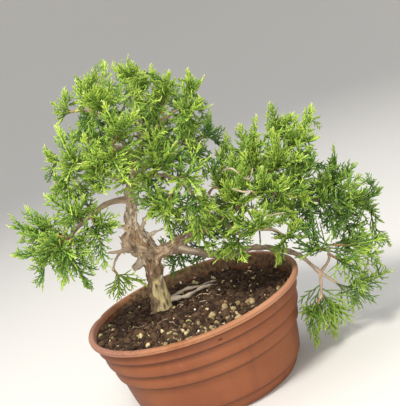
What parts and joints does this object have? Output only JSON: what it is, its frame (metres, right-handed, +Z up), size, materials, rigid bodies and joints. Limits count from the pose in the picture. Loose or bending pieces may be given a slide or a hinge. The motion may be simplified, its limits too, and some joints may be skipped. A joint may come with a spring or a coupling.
{
  "type": "pfitzer juniper bonsai in a pot",
  "caption": "Juniper bonsai with a leaning apex, a wide side bough and a drooping branch, in a round ribbed plastic pot.",
  "frame": {"origin": "centre of the pot's flat underside, on the surface that the pot stands on", "axes": "+Z up, +X towards the long drooping branch that passes over the rim, +Y away from the viewer of the picture"},
  "size_m": [0.3215, 0.2, 0.3028],
  "materials": {
    "terracotta_plastic": "satin",
    "potting_mix": "matte",
    "bark": "matte",
    "foliage": "matte"
  },
  "bodies": {
    "root": {"back_left_spray_1": "foliage", "back_left_spray_2": "foliage", "back_middle_spray_1": "foliage", "back_middle_spray_2": "foliage", "back_right_spray_1": "foliage", "back_right_spray_2": "foliage", "cascade_drop_spray_1": "foliage", "cascade_drop_spray_2": "foliage", "cascade_rise_spray_1": "foliage", "cascade_rise_spray_2": "foliage", "cascade_rise_spray_3": "foliage", "cascade_tip_spray_1": "foliage", "crown_spray_1": "foliage", "crown_spray_2": "foliage", "dangling_twig_spray_1": "foliage", "front_crown_spray_1": "foliage", "front_crown_spray_2": "foliage", "front_middle_spray_1": "foliage", "front_middle_spray_2": "foliage", "front_middle_spray_3": "foliage", "front_middle_spray_4": "foliage", "left_low_spray_1": "foliage", "left_low_spray_2": "foliage", "left_low_spray_3": "foliage", "left_low_spray_4": "foliage", "left_low_spray_5": "foliage", "left_low_spray_6": "foliage", "left_low_spray_7": "foliage", "left_middle_spray_1": "foliage", "left_middle_spray_2": "foliage", "left_middle_spray_3": "foliage", "left_middle_spray_4": "foliage", "pot": "terracotta_plastic", "right_back_spray_1": "foliage", "right_back_spray_2": "foliage", "right_back_spray_3": "foliage", "right_far_spray_1": "foliage", "right_far_spray_2": "foliage", "right_far_spray_3": "foliage", "right_far_spray_4": "foliage", "right_far_spray_5": "foliage", "right_low_spray_1": "foliage", "right_low_spray_2": "foliage", "right_low_spray_3": "foliage", "right_main_spray_1": "foliage", "right_main_spray_2": "foliage", "right_main_spray_3": "foliage", "right_main_spray_4": "foliage", "right_main_spray_5": "foliage", "right_main_spray_6": "foliage", "right_main_spray_7": "foliage", "right_main_spray_8": "foliage", "soil": "potting_mix", "trunk_and_branches": "bark", "upper_left_spray_1": "foliage", "upper_left_spray_2": "foliage", "upper_left_spray_3": "foliage", "upper_right_spray_1": "foliage", "upper_right_spray_2": "foliage", "upper_right_spray_3": "foliage"}
  },
  "joints": []
}
